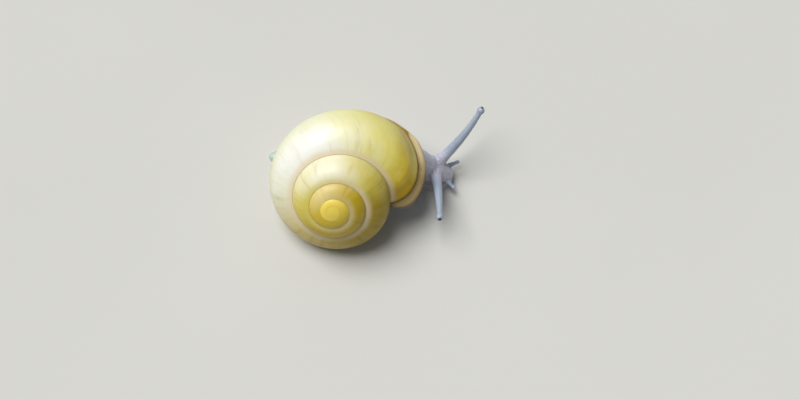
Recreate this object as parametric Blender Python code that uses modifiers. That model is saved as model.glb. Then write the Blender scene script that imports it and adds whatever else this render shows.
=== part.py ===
"""White-lipped garden snail (Cepaea hortensis), life size, as a still model.

The snail heads along +X, its left side is +Y and the floor is Z = 0. The origin is on the sole, under the
shell. The shell is a conical spiral, the soft body is one form parted into its lengths by thin cuts, and
each feeler is divided into two lengths and a tip with its eye.
"""

import math

import bmesh
import bpy
from mathutils import Matrix, Vector

MM = 0.001
GAP = 0.3 * MM  # between neighbouring parts
CUTTER_SIZE = 80 * MM

# Shell. Its ratios are to the outer radius of the last whorl, and angles grow towards the mouth.
SHELL_BREADTH = 20.0 * MM
GROWTH = 1.65  # size of a whorl over the one before it
WHORLS = 4.9
SPIRE_SLOPE = 0.24  # depth of the whorls below the apex: a cone
SPIRE_DOME = 0.65  # and the rounding of that cone
TUBE_HALF_WIDTH = 0.5
TUBE_TOP = 0.445
TUBE_BASE = 0.43
LIP_MIDDLE = math.radians(-28)  # where the mouth's edge crosses the side of the whorl
LIP_SLANT = math.radians(45)  # how far the edge leans forwards at the seam and back at the base
LIP_REACH = math.radians(240)  # the stretch over which the growth lines take that slant
BASE_START = math.radians(-60)  # where the points of the last whorl's base begin, at the mouth
BASE_LEAN = math.radians(80)  # how far back the last whorl's base starts, at the hole
BASE_REACH = math.radians(110)  # the stretch over which that lean fades
UMBILICUS_DEPTH = 0.98  # the closed hole at the middle of the base
UMBILICUS_EDGE = math.radians(-150)
RINGS_A_WHORL = 30
OPEN_STEPS = 12  # points across the part of a whorl that shows on the spire
BASE_STEPS = 10  # points across the last whorl's base

# The shell leans to the snail's right, with its lowest whorl on the floor.
APEX = Vector((0.0, -10.27, 10.25)) * MM
AXIS_TURN = math.radians(-93.7)
AXIS_RISE = math.radians(42)
MOUTH_TURN = math.radians(103.1)

# Thickened, turned-out lip of the mouth.
LIP_WIDTH = 1.25 * MM
LIP_THICKNESS = 0.75 * MM
LIP_FLARE = 0.45 * MM
LIP_STEPS = 38

# Foot: stations from the tail's tip to the front, as x, y of the midline, half width, height.
FOOT_STATIONS = (
    (-9.4, 0.30, 0.25, 0.45),
    (-8.6, 0.30, 0.75, 0.80),
    (-5.5, 0.45, 1.60, 1.40),
    (0.0, 0.60, 2.25, 2.30),
    (6.0, 0.25, 2.40, 2.50),
    (11.0, -0.25, 1.95, 1.70),
    (13.6, -0.65, 1.60, 1.05),
    (14.6, -0.75, 0.75, 0.75),
)
FOOT_EDGE = 0.35  # height of the sole's thin fringe
FOOT_UNDER = 0.6  # depth below the floor that the flat sole is cut from

# Neck and head: stations as x, y, z of the middle, half width, half height.
NECK_STATIONS = (
    (6.0, 0.10, 2.6, 2.0, 2.0),
    (9.5, -0.05, 2.7, 1.85, 1.75),
    (12.0, -0.25, 2.65, 1.75, 1.45),
    (13.4, -0.40, 2.35, 1.60, 1.25),
    (14.3, -0.50, 1.90, 1.15, 0.95),
    (14.8, -0.50, 1.65, 0.55, 0.50),
)

# Stalk of the body, from the shell's mouth down to the foot: stations as x, y, z, half length, half width.
STALK_STATIONS = (
    (4.9, -1.4, 8.6, 5.2, 3.9),
    (5.3, -1.3, 7.0, 5.1, 3.6),
    (6.1, -0.9, 5.0, 4.3, 2.7),
    (6.9, -0.3, 3.2, 4.1, 2.1),
    (7.2, 0.0, 1.6, 4.4, 2.0),
)

# Places where the body is parted, along X, and the slanted cut between the foot and what it carries.
TAIL_END = -3.4 * MM
MIDDLE_END = 4.0 * MM
STALK_END = 9.3 * MM
NECK_END = 11.9 * MM
FOOT_TOP_REAR = 2.35 * MM  # height of the slanted cut at X = 0
FOOT_TOP_SLOPE = -0.085
COLLAR_DEPTH = 1.5 * MM  # of the mantle's collar, below the mouth's edge

# Feelers, as base, bend and tip in millimetres.
LEFT_FEELER = ((12.95, 0.5, 3.1), (16.1, 2.8, 6.3), (17.85, 5.95, 8.45))
RIGHT_FEELER = ((12.75, -1.15, 3.1), (13.35, -4.6, 4.9), (13.6, -8.1, 5.6))
FEELER_ROOT = 0.70 * MM
FEELER_THIN = 0.36 * MM
KNOB_RADIUS = 0.52 * MM
EYE_RADIUS = 0.24 * MM
LEFT_LOWER_FEELER = ((14.1, 0.35, 1.75), (14.85, 0.85, 1.75), (15.6, 1.2, 1.85))
RIGHT_LOWER_FEELER = ((14.15, -1.25, 1.65), (14.75, -1.8, 1.55), (15.3, -2.3, 1.45))
LOWER_ROOT = 0.36 * MM
LOWER_TIP = 0.27 * MM

# Colours, roughness.
SHELL_YELLOW = ((0.72, 0.56, 0.14, 1.0), 0.35)
LIP_CREAM = ((0.70, 0.58, 0.38, 1.0), 0.4)
FLESH_GREY = ((0.33, 0.31, 0.36, 1.0), 0.45)
MANTLE_GREY = ((0.42, 0.40, 0.36, 1.0), 0.4)
FEELER_BLUE = ((0.38, 0.42, 0.53, 1.0), 0.45)
EYE_DARK = ((0.02, 0.02, 0.03, 1.0), 0.2)

OUTER_RADIUS = SHELL_BREADTH / (1 + GROWTH**-0.5)
LIP_END = LIP_MIDDLE + LIP_SLANT  # the last angle of the spiral, at the seam
START = LIP_END - WHORLS * 2 * math.pi
SHELL_FRAME = (
    Matrix.Translation(APEX)
    @ Matrix.Rotation(AXIS_TURN, 4, "Z")
    @ Matrix.Rotation(math.pi / 2 - AXIS_RISE, 4, "Y")
)


# ---- scene, collections and materials


def clear_scene():
    for old in list(bpy.data.objects):
        bpy.data.objects.remove(old, do_unlink=True)


def new_collection(name):
    collection = bpy.data.collections.new(name)
    bpy.context.scene.collection.children.link(collection)
    return collection


def new_material(name, look):
    colour, roughness = look
    material = bpy.data.materials.new(name)
    material.use_nodes = True
    shader = material.node_tree.nodes["Principled BSDF"]
    shader.inputs["Base Color"].default_value = colour
    shader.inputs["Roughness"].default_value = roughness
    shader.inputs["Metallic"].default_value = 0.0
    material.diffuse_color = colour
    return material


def object_from(bm, name, collection, material=None):
    """A smooth-shaded object that holds this mesh, in world coordinates."""
    bmesh.ops.recalc_face_normals(bm, faces=bm.faces)
    mesh = bpy.data.meshes.new(name)
    bm.to_mesh(mesh)
    bm.free()
    mesh.shade_smooth()
    mesh.set_sharp_from_angle(angle=math.radians(40))
    if material:
        mesh.materials.append(material)
    made = bpy.data.objects.new(name, mesh)
    collection.objects.link(made)
    return made


# ---- shell


def whorl_section(angle):
    """Middle (r, z) of the tube at this angle, its half width and its scale, in outer radii."""
    scale = GROWTH ** (angle / (2 * math.pi))
    nose = min(1.0, (angle - START) / math.pi)  # the first half turn rounds off the tube's start
    fullness = math.sqrt(max(0.0, 1 - (1 - nose) ** 2))
    middle_r = (1 - TUBE_HALF_WIDTH) * scale
    middle_z = -(SPIRE_SLOPE * scale + SPIRE_DOME * scale**2)
    return middle_r, middle_z, TUBE_HALF_WIDTH * scale * fullness, scale * fullness


def on_whorl(angle, around):
    """Point (r, z) of the tube's outline. Around is 0 at the outside and 90 degrees at the top."""
    middle_r, middle_z, half_width, scale = whorl_section(angle)
    half_height = (TUBE_TOP if math.sin(around) > 0 else TUBE_BASE) * scale
    return middle_r + half_width * math.cos(around), middle_z + half_height * math.sin(around)


def seam_around(angle):
    """Where on this whorl the next one rests, found by halving."""
    next_r, next_z, next_width, next_scale = whorl_section(angle + 2 * math.pi)
    low, high = math.radians(-135), math.radians(80)
    for _ in range(40):
        middle = (low + high) / 2
        r, z = on_whorl(angle, middle)
        next_height = (TUBE_TOP if z > next_z else TUBE_BASE) * next_scale
        outside = ((r - next_r) / next_width) ** 2 + ((z - next_z) / next_height) ** 2 > 1
        if outside:
            high = middle
        else:
            low = middle
    return (low + high) / 2


def in_world(angle, r, z):
    turn = MOUTH_TURN - angle
    return SHELL_FRAME @ (Vector((r * math.cos(turn), r * math.sin(turn), z)) * OUTER_RADIUS)


def top_around(angle):
    """Where a whorl's own outline leaves the one above it."""
    if angle - START < 2 * math.pi - 0.001:
        return math.radians(135)
    r, z = on_whorl(angle - 2 * math.pi, seam_around(angle - 2 * math.pi))
    middle_r, middle_z, half_width, scale = whorl_section(angle)
    half_height = (TUBE_TOP if z > middle_z else TUBE_BASE) * scale
    return math.atan2((z - middle_z) / half_height, (r - middle_r) / half_width)


def slanted(angle, around, top):
    """The angle with the growth lines' slant, which comes in over the last stretch before the mouth."""
    share = max(0.0, 1 - (LIP_END - angle) / LIP_REACH)
    return angle - LIP_SLANT * (math.sin(top) - math.sin(around)) * share**2


def shell_ring(angle, last_whorl):
    """Points across the shell's outside at this angle, from the seam above to the seam or hole below."""
    top = top_around(angle)
    if last_whorl:
        first = seam_around(LIP_END - 2 * math.pi)
        seam = BASE_START + (first - BASE_START) * (LIP_END - angle) / (2 * math.pi)
    else:
        seam = seam_around(angle)
    arounds = [top + (seam - top) * i / OPEN_STEPS for i in range(OPEN_STEPS + 1)]
    if last_whorl:
        arounds += [seam + (UMBILICUS_EDGE - seam) * i / BASE_STEPS for i in range(1, BASE_STEPS + 1)]
    points = []
    for around in arounds:
        at = slanted(angle, around, top)
        if around < seam:
            fade = max(0.0, 1 - (angle - LIP_END + 2 * math.pi) / BASE_REACH)
            at -= BASE_LEAN * fade * (seam - around) / (seam - UMBILICUS_EDGE)
        points.append(in_world(at, *on_whorl(at, around)))
    if angle - START >= 2 * math.pi - 0.001:
        points[0] = in_world(angle, *on_whorl(angle - 2 * math.pi, seam_around(angle - 2 * math.pi)))
    return points


def skin_between(bm, rings, cap_ends=True, closed=True):
    """Faces between successive rings of points, each ring closed round or open."""
    rows = [[bm.verts.new(point) for point in ring] for ring in rings]
    count = len(rows[0])
    for row, after in zip(rows, rows[1:]):
        for i in range(count if closed else count - 1):
            j = (i + 1) % count
            bm.faces.new((row[i], row[j], after[j], after[i]))
    if cap_ends:
        bm.faces.new(rows[0])
        bm.faces.new(rows[-1])


def close_mouth(bm, lip, wall):
    """Faces across the mouth, between the points of its lip and those of the wall behind it."""
    lip = [bm.verts.new(point) for point in lip]
    wall = [bm.verts.new(point) for point in wall]
    i = j = 0
    while i < len(lip) - 1 or j < len(wall) - 1:
        if (i + 1) * (len(wall) - 1) <= (j + 1) * (len(lip) - 1):
            bm.faces.new((lip[i], lip[i + 1], wall[j]))
            i += 1
        else:
            bm.faces.new((lip[i], wall[j + 1], wall[j]))
            j += 1


def build_shell(collection, material):
    step = 2 * math.pi / RINGS_A_WHORL
    ring_count = round(WHORLS * RINGS_A_WHORL)
    bm = bmesh.new()
    spire = [shell_ring(LIP_END - k * step, False) for k in range(RINGS_A_WHORL, ring_count + 1)]
    last = [shell_ring(LIP_END - k * step, True) for k in range(RINGS_A_WHORL + 1)]
    hole = SHELL_FRAME @ (Vector((0, 0, -UMBILICUS_DEPTH)) * OUTER_RADIUS)
    last = [ring + [hole] for ring in last]
    skin_between(bm, spire, cap_ends=False, closed=False)
    skin_between(bm, last, cap_ends=False, closed=False)
    close_mouth(bm, last[0], last[-1][OPEN_STEPS:])
    bmesh.ops.remove_doubles(bm, verts=bm.verts, dist=0.002 * MM)
    bmesh.ops.holes_fill(bm, edges=[e for e in bm.edges if e.is_boundary])
    rest_on_floor(bm)
    return object_from(bm, "shell", collection, material)


def rest_on_floor(bm):
    """Cuts off what is below the floor, which leaves a small flat to rest on."""
    everything = bm.verts[:] + bm.edges[:] + bm.faces[:]
    bmesh.ops.bisect_plane(bm, geom=everything, plane_co=(0, 0, 0), plane_no=(0, 0, -1), clear_outer=True)
    bmesh.ops.holes_fill(bm, edges=[e for e in bm.edges if e.is_boundary])
    bmesh.ops.triangulate(bm, faces=[f for f in bm.faces if len(f.verts) > 4])


def lip_frame(around, top):
    """A point on the mouth's edge, with its directions forwards and outwards."""
    at = slanted(LIP_END, around, top)
    point = in_world(at, *on_whorl(at, around))
    forwards = (in_world(at + 0.02, *on_whorl(at + 0.02, around)) - point).normalized()
    along = (in_world(at, *on_whorl(at, around - 0.02)) - point).normalized()
    outwards = along.cross(forwards).normalized()
    middle_r, middle_z, _, _ = whorl_section(at)
    if outwards.dot(point - in_world(at, middle_r, middle_z)) < 0:
        outwards = -outwards
    return point, forwards, outwards


def build_lip(collection, material):
    """A band beyond the shell's edge, from the seam round to the hole, thick and turned out."""
    top = top_around(LIP_END)
    rings = []
    for i in range(LIP_STEPS + 1):
        share = i / LIP_STEPS
        around = top - math.radians(9) + (UMBILICUS_EDGE - top + math.radians(12)) * share
        point, forwards, outwards = lip_frame(around, top)
        fade = 0.35 + 0.65 * math.sin(math.pi * min(1.0, 0.08 + share)) ** 0.5
        width, flare, thickness = LIP_WIDTH * fade, LIP_FLARE * fade, LIP_THICKNESS * fade
        outline = (
            (GAP, 0.0),
            (GAP + 0.5 * width, 0.25 * flare),
            (GAP + width, flare),
            (GAP + 1.05 * width, flare - 0.4 * thickness),
            (GAP + 0.8 * width, -0.55 * thickness),
            (GAP + 0.4 * width, -thickness),
            (GAP, -thickness),
        )
        rings.append([point + forwards * f + outwards * o for f, o in outline])
    bm = bmesh.new()
    skin_between(bm, rings)
    return object_from(bm, "shell_lip", collection, material)


# ---- soft body


def smooth_stations(stations, count):
    """Stations read from a smooth curve through the given ones, as rows of numbers in metres."""
    rows = []
    last = len(stations) - 1
    for i in range(count + 1):
        place = last * i / count
        k = min(int(place), last - 1)
        t = place - k
        before, a, b, after = (stations[min(max(j, 0), last)] for j in (k - 1, k, k + 1, k + 2))
        row = []
        for p, q, r, s in zip(before, a, b, after):
            bend = (2 * q + (r - p) * t + (2 * p - 5 * q + 4 * r - s) * t**2 + (3 * q - p - 3 * r + s) * t**3)
            row.append(bend / 2 * MM)
        rows.append(row)
    return rows


def foot_form(bm):
    """A low dome with a thin fringe, which runs a little below the floor."""
    rings = []
    for x, y, half_width, height in smooth_stations(FOOT_STATIONS, 40):
        ring = [Vector((x, y - half_width, -FOOT_UNDER * MM)), Vector((x, y + half_width, -FOOT_UNDER * MM))]
        for i in range(15):
            a = math.pi * i / 14
            z = FOOT_EDGE * MM + (height - FOOT_EDGE * MM) * math.sin(a) ** 1.2
            ring.append(Vector((x, y + half_width * math.cos(a), max(z, 0.05 * MM))))
        rings.append(ring)
    skin_between(bm, rings)


def neck_form(bm):
    rings = []
    for x, y, z, half_width, half_height in smooth_stations(NECK_STATIONS, 24):
        turns = [2 * math.pi * i / 20 for i in range(20)]
        rings.append(
            [Vector((x, y + half_width * math.cos(a), z + half_height * math.sin(a))) for a in turns]
        )
    skin_between(bm, rings)


def stalk_form(bm):
    rings = []
    for x, y, z, half_length, half_width in smooth_stations(STALK_STATIONS, 16):
        turns = [2 * math.pi * i / 24 for i in range(24)]
        rings.append(
            [Vector((x + half_length * math.cos(a), y + half_width * math.sin(a), z)) for a in turns]
        )
    skin_between(bm, rings)


def swollen_copy(source, name, distance, collection):
    """A cutter: the same form, grown along its normals, so that what it cuts keeps clear of the source."""
    cutter = source.copy()
    cutter.data = source.data.copy()
    cutter.name = name
    normals = [vert.normal.copy() for vert in cutter.data.vertices]
    for vert, normal in zip(cutter.data.vertices, normals):
        vert.co += normal * distance
    collection.objects.link(cutter)
    cutter.hide_render = True
    cutter.display_type = "WIRE"
    return cutter


def cut_away(target, cutter):
    """Keeps the target clear of the cutter. The exact solver leaves holes in forms as small as these."""
    cut = target.modifiers.new("keep_clear", "BOOLEAN")
    cut.operation = "DIFFERENCE"
    cut.solver = "MANIFOLD"
    cut.object = cutter


def evaluated_bmesh(source):
    graph = bpy.context.evaluated_depsgraph_get()
    bm = bmesh.new()
    bm.from_mesh(bpy.data.meshes.new_from_object(source.evaluated_get(graph)))
    return bm


def whole_body(cutters, shell_clearance, lip):
    """The soft body in one piece, blended from its forms and hollowed where the shell lies on it."""
    bm = bmesh.new()
    foot_form(bm)
    neck_form(bm)
    stalk_form(bm)
    body = object_from(bm, "body_form", cutters)
    body.hide_render = True
    body.display_type = "WIRE"
    remesh = body.modifiers.new("blend", "REMESH")
    remesh.mode = "VOXEL"
    remesh.voxel_size = 0.36 * MM
    smooth = body.modifiers.new("soften", "SMOOTH")
    smooth.factor = 0.5
    smooth.iterations = 5
    decimate = body.modifiers.new("lighten", "DECIMATE")
    decimate.ratio = 0.36
    cut_away(body, shell_clearance)
    cut_away(body, swollen_copy(lip, "lip_clearance", GAP, cutters))
    keep_largest_body(body)
    return body


def keep_largest_body(target):
    """Makes the cuts final and drops the slivers that they left beside the main body."""
    bm = evaluated_bmesh(target)
    bodies = []
    left = set(bm.verts)
    while left:
        found = [left.pop()]
        for vert in found:
            near = {edge.other_vert(vert) for edge in vert.link_edges} & left
            left -= near
            found.extend(near)
        bodies.append(found)
    bodies.sort(key=len)
    loose = [vert for found in bodies[:-1] for vert in found]
    bmesh.ops.delete(bm, geom=loose, context="VERTS")
    target.modifiers.clear()
    bm.to_mesh(target.data)
    bm.free()


def half_space(name, point, outwards, collection):
    """A block that fills the outer side of a plane, as a cutter."""
    turn = outwards.to_track_quat("Z", "Y").to_matrix().to_4x4()
    bm = bmesh.new()
    bmesh.ops.create_cube(bm, size=CUTTER_SIZE)
    bmesh.ops.translate(bm, verts=bm.verts, vec=(0, 0, CUTTER_SIZE / 2))
    bmesh.ops.transform(bm, verts=bm.verts, matrix=Matrix.Translation(point) @ turn)
    block = object_from(bm, name, collection)
    block.hide_render = True
    block.display_type = "WIRE"
    return block


def length_of(body, name, planes, parts, cutters, material):
    """The stretch of the body on the inner side of each plane, given as a point and its outward normal."""
    piece = object_from(evaluated_bmesh(body), name, parts, material)
    for i, (point, outwards) in enumerate(planes):
        cut_away(piece, half_space(f"{name}_cut_{i + 1}", point, outwards, cutters))
    keep_largest_body(piece)
    return piece


def build_body(parts, cutters, shell_clearance, lip, flesh, mantle):
    body = whole_body(cutters, shell_clearance, lip)
    half = GAP / 2
    floor = (Vector((0, 0, 0)), Vector((0, 0, -1)))
    top_normal = Vector((-FOOT_TOP_SLOPE, 0, 1)).normalized()
    foot_top = Vector((0, 0, FOOT_TOP_REAR))
    below = (foot_top - top_normal * half, top_normal)
    above = (foot_top + top_normal * half, -top_normal)
    mouth_point, mouth_normal = mouth_plane()
    collar_edge = mouth_point + mouth_normal * COLLAR_DEPTH
    outside_collar = (collar_edge + mouth_normal * half, -mouth_normal)
    inside_collar = (collar_edge - mouth_normal * half, mouth_normal)

    def before(x):
        return Vector((x - half, 0, 0)), Vector((1, 0, 0))

    def after(x):
        return Vector((x + half, 0, 0)), Vector((-1, 0, 0))

    lengths = {
        "foot_tail": [floor, before(TAIL_END)],
        "foot_middle": [floor, below, after(TAIL_END), before(MIDDLE_END)],
        "foot_front": [floor, below, after(MIDDLE_END)],
        "body_stalk": [above, before(STALK_END), outside_collar, after(TAIL_END)],
        "neck": [above, after(STALK_END), before(NECK_END), outside_collar],
        "head": [above, after(NECK_END)],
    }
    for name, planes in lengths.items():
        length_of(body, name, planes, parts, cutters, flesh)
    length_of(body, "mantle_collar", [inside_collar, above], parts, cutters, mantle)
    whole = object_from(evaluated_bmesh(body), "body_whole", cutters)
    whole.hide_render = True
    return swollen_copy(whole, "body_clearance", GAP, cutters)


def mouth_plane():
    """A point on the plane of the mouth's edge, and the normal that points out of the shell."""
    top = top_around(LIP_END)
    edge = [lip_frame(math.radians(a), top)[0] for a in (60, 0, -60, -120)]
    middle = sum(edge, Vector()) / len(edge)
    normal = (edge[1] - edge[0]).cross(edge[2] - edge[0]).normalized()
    inside = SHELL_FRAME @ (Vector((0, 0, -0.4)) * OUTER_RADIUS)
    if normal.dot(middle - inside) < 0:
        normal = -normal
    return middle, normal


# ---- feelers and eyes


def bent_line(points, count):
    """Points along a smooth bend from the first point to the last, pulled towards the second."""
    start, bend, end = (Vector(p) * MM for p in points)
    line = []
    for i in range(count + 1):
        t = i / count
        line.append(start * (1 - t) ** 2 + bend * 2 * t * (1 - t) + end * t**2)
    return line


def tapered_rod(name, line, radii, collection, material, sides=10):
    """A round rod along a line, with its own radius at each point."""
    rings = []
    for i, point in enumerate(line):
        ahead = line[min(i + 1, len(line) - 1)]
        behind = line[max(i - 1, 0)]
        turn = (ahead - behind).to_track_quat("Z", "Y")
        ring = []
        for k in range(sides):
            a = 2 * math.pi * k / sides
            ring.append(point + turn @ (Vector((math.cos(a), math.sin(a), 0)) * radii[i]))
        rings.append(ring)
    bm = bmesh.new()
    skin_between(bm, rings)
    return object_from(bm, name, collection, material)


def ball(name, centre, radius, collection, material, segments=10):
    bm = bmesh.new()
    bmesh.ops.create_uvsphere(bm, u_segments=segments, v_segments=segments * 2 // 3, radius=radius)
    bmesh.ops.translate(bm, verts=bm.verts, vec=centre)
    return object_from(bm, name, collection, material)


def build_feeler(side, points, parts, cutters, flesh, dark, body_clearance):
    """An upper feeler: two tapering lengths, a round tip, and the eye set into the tip."""
    line = bent_line(points, 16)
    length = sum((b - a).length for a, b in zip(line, line[1:]))
    radii = [FEELER_THIN + (FEELER_ROOT - FEELER_THIN) * (1 - i / 16) ** 1.3 for i in range(17)]
    trim = max(1, round(16 * (KNOB_RADIUS + GAP) / length))
    lower = tapered_rod(f"feeler_{side}_lower_length", line[:9], radii[:9], parts, flesh)
    cut_away(lower, body_clearance)
    upper = line[8 : 17 - trim]
    upper[0] = upper[0] + (upper[1] - upper[0]).normalized() * GAP
    tapered_rod(f"feeler_{side}_upper_length", upper, radii[8 : 17 - trim], parts, flesh)
    onwards = (line[-1] - line[-2]).normalized()
    knob = ball(f"feeler_{side}_tip", line[-1], KNOB_RADIUS, parts, flesh)
    eye_centre = line[-1] + (onwards + Vector((0, 0, 0.45))).normalized() * (KNOB_RADIUS - 0.08 * MM)
    ball(f"eye_{side}", eye_centre, EYE_RADIUS, parts, dark)
    socket = ball(f"eye_socket_{side}", eye_centre, EYE_RADIUS + 0.06 * MM, cutters, None)
    socket.hide_render = True
    socket.display_type = "WIRE"
    cut_away(knob, socket)


def build_lower_feeler(side, points, parts, flesh, body_clearance):
    line = bent_line(points, 6)
    radii = [LOWER_ROOT + (LOWER_TIP - LOWER_ROOT) * i / 6 for i in range(7)]
    radii[-1] *= 0.6
    rod = tapered_rod(f"lower_feeler_{side}", line, radii, parts, flesh, sides=8)
    cut_away(rod, body_clearance)


def main():
    clear_scene()
    parts = new_collection("garden_snail")
    cutters = new_collection("cutters")
    shell = build_shell(parts, new_material("shell_yellow", SHELL_YELLOW))
    shell_clearance = swollen_copy(shell, "shell_clearance", GAP, cutters)
    lip = build_lip(parts, new_material("lip_cream", LIP_CREAM))
    cut_away(lip, shell_clearance)
    keep_largest_body(lip)
    flesh = new_material("flesh_grey", FLESH_GREY)
    mantle = new_material("mantle_grey", MANTLE_GREY)
    body_clearance = build_body(parts, cutters, shell_clearance, lip, flesh, mantle)
    feeler_flesh = new_material("feeler_blue_grey", FEELER_BLUE)
    dark = new_material("eye_dark", EYE_DARK)
    for side, upper, lower in (
        ("left", LEFT_FEELER, LEFT_LOWER_FEELER),
        ("right", RIGHT_FEELER, RIGHT_LOWER_FEELER),
    ):
        build_feeler(side, upper, parts, cutters, feeler_flesh, dark, body_clearance)
        build_lower_feeler(side, lower, parts, feeler_flesh, body_clearance)


main()
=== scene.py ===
import math

import bpy
import numpy as np
from mathutils import Matrix, Vector, noise


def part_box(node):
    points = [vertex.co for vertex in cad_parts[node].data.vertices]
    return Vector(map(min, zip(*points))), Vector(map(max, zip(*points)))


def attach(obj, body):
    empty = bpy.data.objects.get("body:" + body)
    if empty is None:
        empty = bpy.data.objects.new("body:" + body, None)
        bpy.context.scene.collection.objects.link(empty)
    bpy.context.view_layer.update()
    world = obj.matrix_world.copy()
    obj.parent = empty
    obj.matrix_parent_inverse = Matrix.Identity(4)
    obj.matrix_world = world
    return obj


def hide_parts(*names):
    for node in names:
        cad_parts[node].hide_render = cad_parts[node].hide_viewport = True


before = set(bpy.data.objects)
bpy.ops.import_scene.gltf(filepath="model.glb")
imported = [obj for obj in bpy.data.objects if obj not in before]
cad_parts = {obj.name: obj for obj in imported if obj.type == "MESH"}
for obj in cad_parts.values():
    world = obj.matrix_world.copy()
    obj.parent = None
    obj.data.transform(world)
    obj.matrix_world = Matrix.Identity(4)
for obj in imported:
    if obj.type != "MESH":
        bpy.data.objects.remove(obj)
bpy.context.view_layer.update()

mm = 0.001
turn = 2 * math.pi


# small helpers

def deselectAll():
    if bpy.context.object and bpy.context.object.mode != "OBJECT":
        bpy.ops.object.mode_set(mode="OBJECT")
    bpy.ops.object.select_all(action="DESELECT")


def pick(piece):
    deselectAll()
    piece.select_set(True)
    bpy.context.view_layer.objects.active = piece


def nameIt(piece, name):
    piece.name = name
    piece.data.name = name
    return piece


def newGrid(name, columns, rows):
    deselectAll()
    bpy.ops.mesh.primitive_grid_add(x_subdivisions=columns, y_subdivisions=rows, size=1, calc_uvs=True)
    piece = nameIt(bpy.context.object, name)
    flat = readPoints(piece)
    return piece, flat[:, 0] + 0.5, flat[:, 1] + 0.5  # both run from 0 to 1 across the grid


def readPoints(piece):
    flat = np.empty(len(piece.data.vertices) * 3)
    piece.data.vertices.foreach_get("co", flat)
    return flat.reshape(-1, 3)


def writePoints(piece, points):
    piece.data.vertices.foreach_set("co", np.ascontiguousarray(points).ravel())
    piece.data.update()


def readNormals(piece):
    flat = np.empty(len(piece.data.vertices) * 3)
    piece.data.vertex_normals.foreach_get("vector", flat)
    return flat.reshape(-1, 3)


def writeMap(piece, name, u, v):
    corner = np.empty(len(piece.data.loops), dtype=np.int32)
    piece.data.loops.foreach_get("vertex_index", corner)
    layer = piece.data.uv_layers[0]
    layer.name = name
    layer.uv.foreach_set("vector", np.stack([u[corner], v[corner]], 1).astype(np.float32).ravel())


def writeValue(piece, name, values):
    layer = piece.data.attributes.new(name, "FLOAT", "POINT")
    layer.data.foreach_set("value", np.asarray(values, dtype=np.float32))


def closeUp(piece, distance):
    pick(piece)
    bpy.ops.object.mode_set(mode="EDIT")
    bpy.ops.mesh.select_all(action="SELECT")
    bpy.ops.mesh.remove_doubles(threshold=distance)
    bpy.ops.mesh.normals_make_consistent(inside=False)
    bpy.ops.object.mode_set(mode="OBJECT")
    bpy.ops.object.shade_smooth()


def shutEnds(points, u):
    # draws the first and the last ring together, so that a tube ends closed
    for end in (u < 0.0001, u > 0.9999):
        points[end] = points[end].mean(0)
    return points


def applyAll(piece):
    pick(piece)
    for step in list(piece.modifiers):
        bpy.ops.object.modifier_apply(modifier=step.name)


def blendRows(p, q, r, s, t):
    # runs smoothly from row q to row r; the rows before and after them set its slope
    return 0.5 * (2 * q + (r - p) * t + (2 * p - 5 * q + 4 * r - s) * t**2 + (3 * q - p - 3 * r + s) * t**3)


def blendCurve(rows, count):
    # a smooth curve through the given rows of numbers, read at even steps
    rows = np.array(rows, dtype=float)
    last = len(rows) - 1
    place = np.linspace(0, last, count)
    k = np.minimum(place.astype(int), last - 1)
    four = (rows[np.clip(k + step, 0, last)] for step in (-1, 0, 1, 2))
    return blendRows(*four, (place - k)[:, None])


def blendLoop(corners, count):
    # the same round a closed outline
    corners = np.array(corners)
    place = np.linspace(0, len(corners), count, endpoint=False)
    k = place.astype(int)
    four = (corners[(k + step) % len(corners)] for step in (-1, 0, 1, 2))
    return blendRows(*four, (place - k)[:, None])


def ease(low, high, value):
    t = np.clip((value - low) / (high - low), 0, 1)
    return t * t * (3 - 2 * t)


# node helpers for the materials

def newMaterial(name):
    material = bpy.data.materials.new(name)
    material.use_nodes = True
    material.node_tree.nodes.clear()
    out = material.node_tree.nodes.new("ShaderNodeOutputMaterial")
    shader = material.node_tree.nodes.new("ShaderNodeBsdfPrincipled")
    material.node_tree.links.new(shader.outputs[0], out.inputs[0])
    return material, shader


def plug(material, node, sources):
    # each input takes another node's output, or a plain value
    for name, source in sources.items():
        if isinstance(source, bpy.types.NodeSocket):
            material.node_tree.links.new(source, node.inputs[name])
        else:
            node.inputs[name].default_value = source


def addNode(material, kind, sources=None, **settings):
    node = material.node_tree.nodes.new(kind)
    for key, value in settings.items():
        setattr(node, key, value)
    plug(material, node, sources or {})
    return node


def calc(material, operation, *terms):
    return addNode(material, "ShaderNodeMath", dict(enumerate(terms)), operation=operation).outputs[0]


def times(material, a, b):
    return calc(material, "MULTIPLY", a, b)


def sway(material, pattern, amount, value):
    # moves a value up and down with a pattern that runs from 0 to 1
    return calc(material, "MULTIPLY_ADD", calc(material, "SUBTRACT", pattern, 0.5), amount, value)


def spread(material, value, low, high, outLow=0.0, outHigh=1.0):
    sources = {"Value": value, "From Min": low, "From Max": high, "To Min": outLow, "To Max": outHigh}
    return addNode(material, "ShaderNodeMapRange", sources, interpolation_type="SMOOTHSTEP").outputs[0]


def mixColour(material, share, a, b, kind="MIX"):
    sources = {0: share, 6: a, 7: b}
    return addNode(material, "ShaderNodeMix", sources, data_type="RGBA", blend_type=kind).outputs[2]


def colour(red, green, blue):
    # screen values from 0 to 255, turned into the shader's linear ones
    def linear(c):
        c = c / 255
        return c / 12.92 if c <= 0.04045 else ((c + 0.055) / 1.055) ** 2.4
    return (linear(red), linear(green), linear(blue), 1.0)


def ramp(material, value, look, stops):
    # the stops name their tones, which the look holds
    node = addNode(material, "ShaderNodeValToRGB", {0: value})
    marks = node.color_ramp.elements
    while len(marks) < len(stops):
        marks.new(0.5)
    for mark, (place, tone) in zip(marks, stops):
        mark.position = place
        mark.color = look[tone]
    return node.outputs[0]


def noiseOf(material, where, scale, detail=3.0, roughness=0.5):
    sources = {"Vector": where, "Scale": scale, "Detail": detail, "Roughness": roughness}
    return addNode(material, "ShaderNodeTexNoise", sources).outputs[0]


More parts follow.
